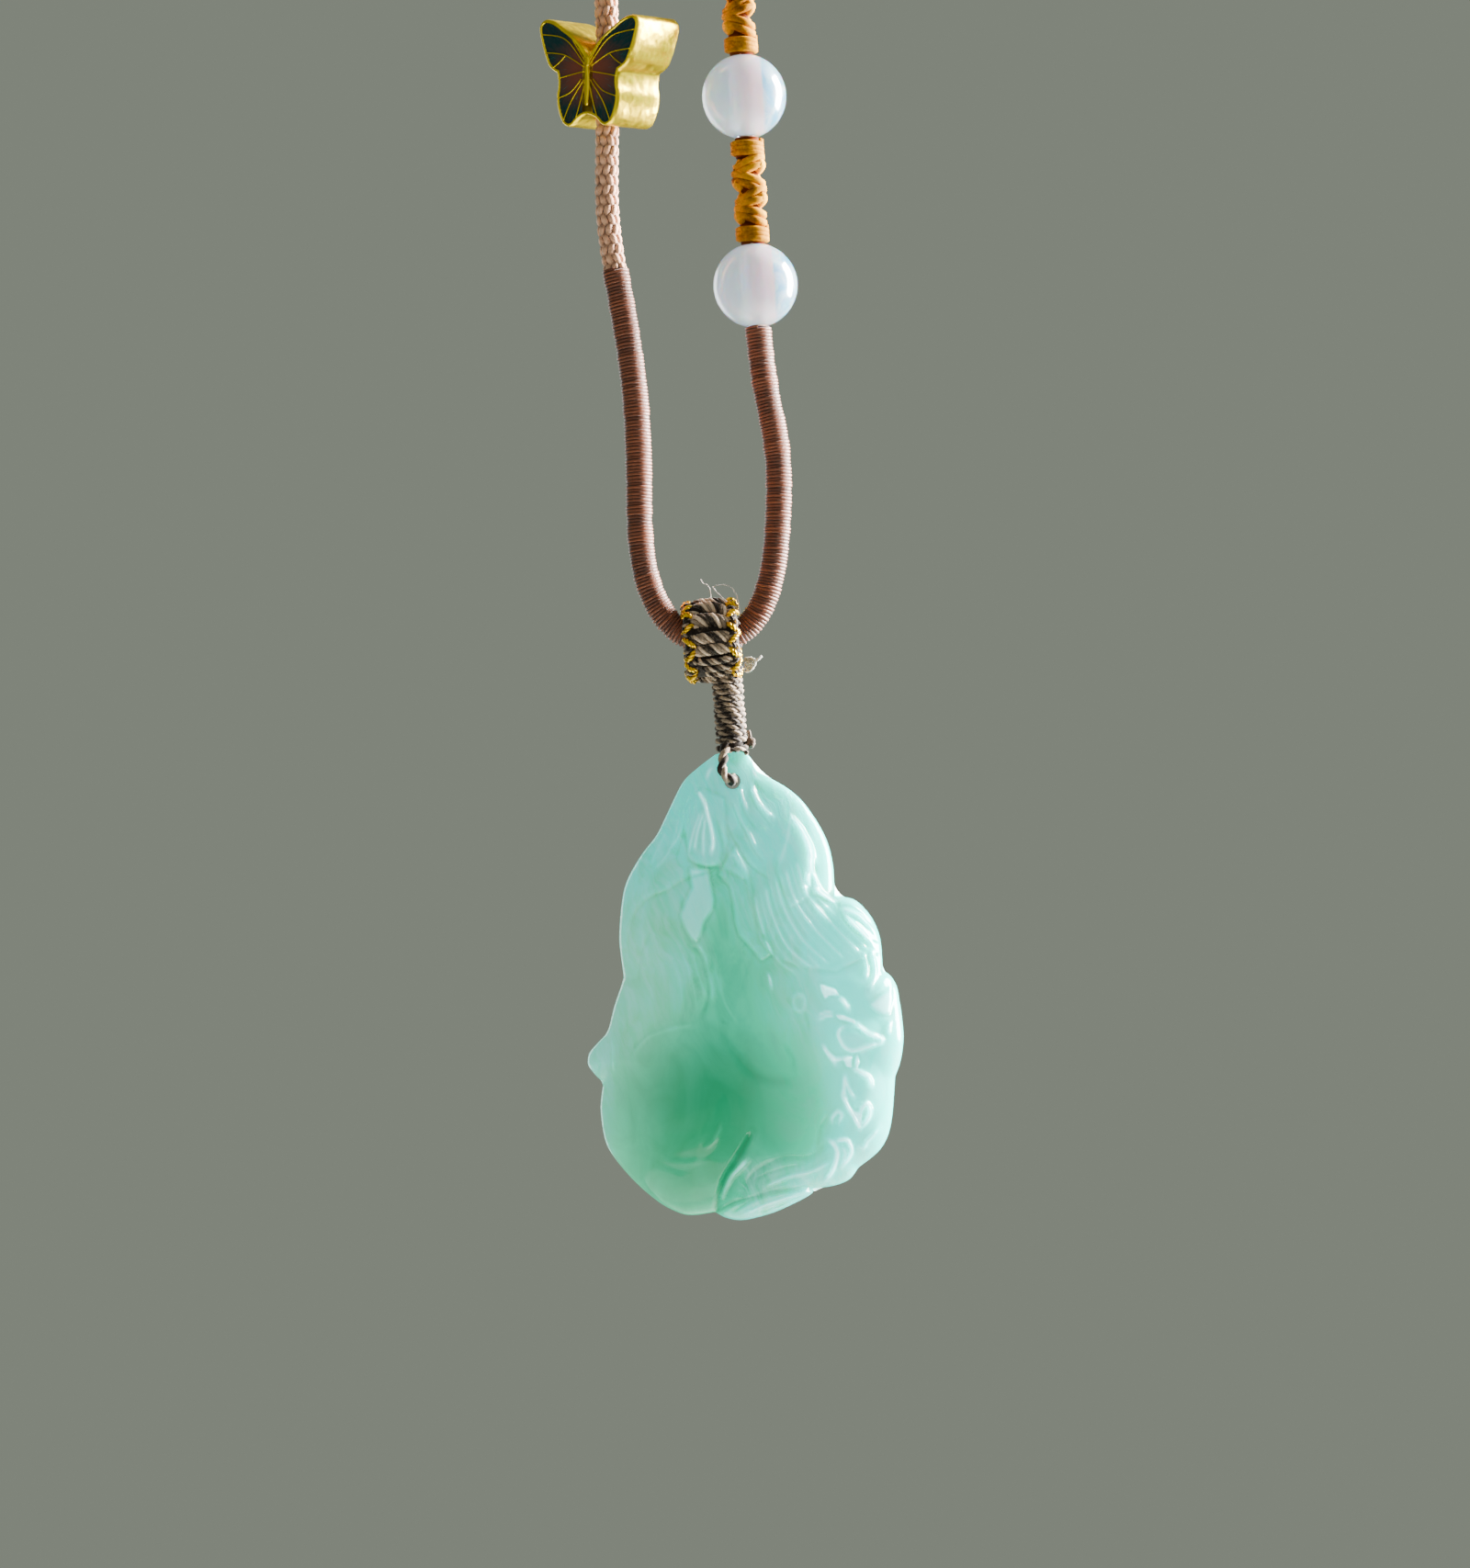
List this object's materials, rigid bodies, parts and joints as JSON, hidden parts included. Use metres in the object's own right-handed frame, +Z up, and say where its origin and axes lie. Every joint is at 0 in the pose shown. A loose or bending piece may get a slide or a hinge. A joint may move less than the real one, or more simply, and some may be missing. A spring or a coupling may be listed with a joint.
{
  "type": "jade fox pendant necklace",
  "caption": "Carved jade fox pendant on a corded loop with round stone beads, an enamel butterfly bead and a knotted bail, hanging as from a peg.",
  "frame": {"origin": "the underside of the cord at the top of the loop, where it hangs on a peg", "axes": "+Z up along the hanging strands, the carved face looks along -Y, +X to its viewer's right"},
  "size_m": [0.03, 0.0125, 0.3512],
  "materials": {
    "brown_braid": "braided cord, matt with a slight sheen",
    "brown_wrap": "fine thread wound closely, slight sheen",
    "orange_knots": "knotted waxed cord",
    "gilt_metal": "gold plating, lightly brushed",
    "milky_stone": "polished milky chalcedony",
    "pale_thread": "undyed thread",
    "wing_enamel": "glossy fired enamel, dark teal to rust",
    "olive_thread": "olive brown thread",
    "metallic_thread": "metallic gold thread",
    "jade": "polished translucent jade"
  },
  "bodies": {
    "necklace": {"braided_cord": "brown_braid", "wrapped_cord": "brown_wrap", "knotted_cord_upper": "orange_knots", "knotted_cord_lower": "orange_knots", "closing_sleeve": "gilt_metal", "bead_lower": "milky_stone", "bead_upper": "milky_stone", "core_thread_lower": "pale_thread", "core_thread_upper": "pale_thread", "butterfly_body": "gilt_metal", "enamel_front_left": "wing_enamel", "enamel_front_right": "wing_enamel", "enamel_back_left": "wing_enamel", "enamel_back_right": "wing_enamel"},
    "drop": {"bail_knot": "olive_thread", "bail_edging_left": "metallic_thread", "bail_edging_right": "metallic_thread", "wrapped_stem": "olive_thread", "hanging_thread": "olive_thread", "thread_nub_upper": "olive_thread", "thread_nub_lower": "olive_thread", "jade_fox": "jade"}
  },
  "joints": [
    {"name": "pendant_swing", "type": "hinge", "parent": "necklace", "child": "drop", "pos_m": [0, 0, -0.294], "axis": [1, 0, 0], "range_deg": [-120, 120]}
  ]
}
